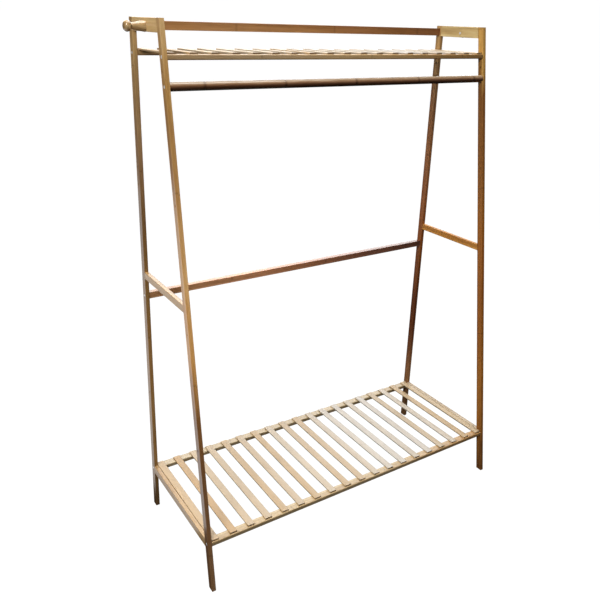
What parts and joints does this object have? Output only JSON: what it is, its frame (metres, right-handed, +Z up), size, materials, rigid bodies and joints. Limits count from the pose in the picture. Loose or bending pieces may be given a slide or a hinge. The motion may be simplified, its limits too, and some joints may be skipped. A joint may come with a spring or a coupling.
{
  "type": "slatted clothes rack",
  "caption": "Free-standing bamboo clothes rack with a hanging rod, slatted shelves above and below, a rear bar and coat pegs on its sides.",
  "frame": {"origin": "middle of the footprint on the floor", "axes": "+X to the right along the rod, +Y from the leaning front legs to the upright rear legs, +Z up"},
  "size_m": [1.301, 0.48, 1.65],
  "materials": {
    "leg_bamboo": "varnished bamboo strips, lengthwise grain",
    "board_bamboo": "varnished bamboo strips, lengthwise grain",
    "top_rail_bamboo": "varnished darker bamboo, lengthwise grain",
    "bar_bamboo": "varnished bamboo strips, lengthwise grain",
    "rod_bamboo": "varnished round bamboo with faint nodes",
    "slat_bamboo": "varnished pale bamboo, fine lengthwise grain",
    "peg_bamboo": "turned and varnished bamboo",
    "steel": "zinc-plated steel"
  },
  "bodies": {
    "root": {"left_front_leg": "leg_bamboo", "left_rear_leg": "leg_bamboo", "left_top_board": "board_bamboo", "left_side_rail": "board_bamboo", "left_base_rail": "board_bamboo", "right_front_leg": "leg_bamboo", "right_rear_leg": "leg_bamboo", "right_top_board": "board_bamboo", "right_side_rail": "board_bamboo", "right_base_rail": "board_bamboo", "rear_top_rail": "top_rail_bamboo", "rear_mid_bar": "bar_bamboo", "hanging_rod": "rod_bamboo", "upper_front_rail": "bar_bamboo", "upper_rear_rail": "bar_bamboo", "lower_front_rail": "bar_bamboo", "lower_rear_rail": "bar_bamboo", "upper_slat_01": "slat_bamboo", "upper_slat_02": "slat_bamboo", "upper_slat_03": "slat_bamboo", "upper_slat_04": "slat_bamboo", "upper_slat_05": "slat_bamboo", "upper_slat_06": "slat_bamboo", "upper_slat_07": "slat_bamboo", "upper_slat_08": "slat_bamboo", "upper_slat_09": "slat_bamboo", "upper_slat_10": "slat_bamboo", "upper_slat_11": "slat_bamboo", "upper_slat_12": "slat_bamboo", "upper_slat_13": "slat_bamboo", "upper_slat_14": "slat_bamboo", "upper_slat_15": "slat_bamboo", "upper_slat_16": "slat_bamboo", "upper_slat_17": "slat_bamboo", "upper_slat_18": "slat_bamboo", "upper_slat_19": "slat_bamboo", "lower_slat_01": "slat_bamboo", "lower_slat_02": "slat_bamboo", "lower_slat_03": "slat_bamboo", "lower_slat_04": "slat_bamboo", "lower_slat_05": "slat_bamboo", "lower_slat_06": "slat_bamboo", "lower_slat_07": "slat_bamboo", "lower_slat_08": "slat_bamboo", "lower_slat_09": "slat_bamboo", "lower_slat_10": "slat_bamboo", "lower_slat_11": "slat_bamboo", "lower_slat_12": "slat_bamboo", "lower_slat_13": "slat_bamboo", "lower_slat_14": "slat_bamboo", "lower_slat_15": "slat_bamboo", "lower_slat_16": "slat_bamboo", "lower_slat_17": "slat_bamboo", "lower_slat_18": "slat_bamboo", "lower_slat_19": "slat_bamboo", "left_coat_peg": "peg_bamboo", "right_coat_peg": "peg_bamboo", "frame_bolts": "steel", "threaded_inserts": "steel", "peg_screws": "steel"}
  },
  "joints": []
}
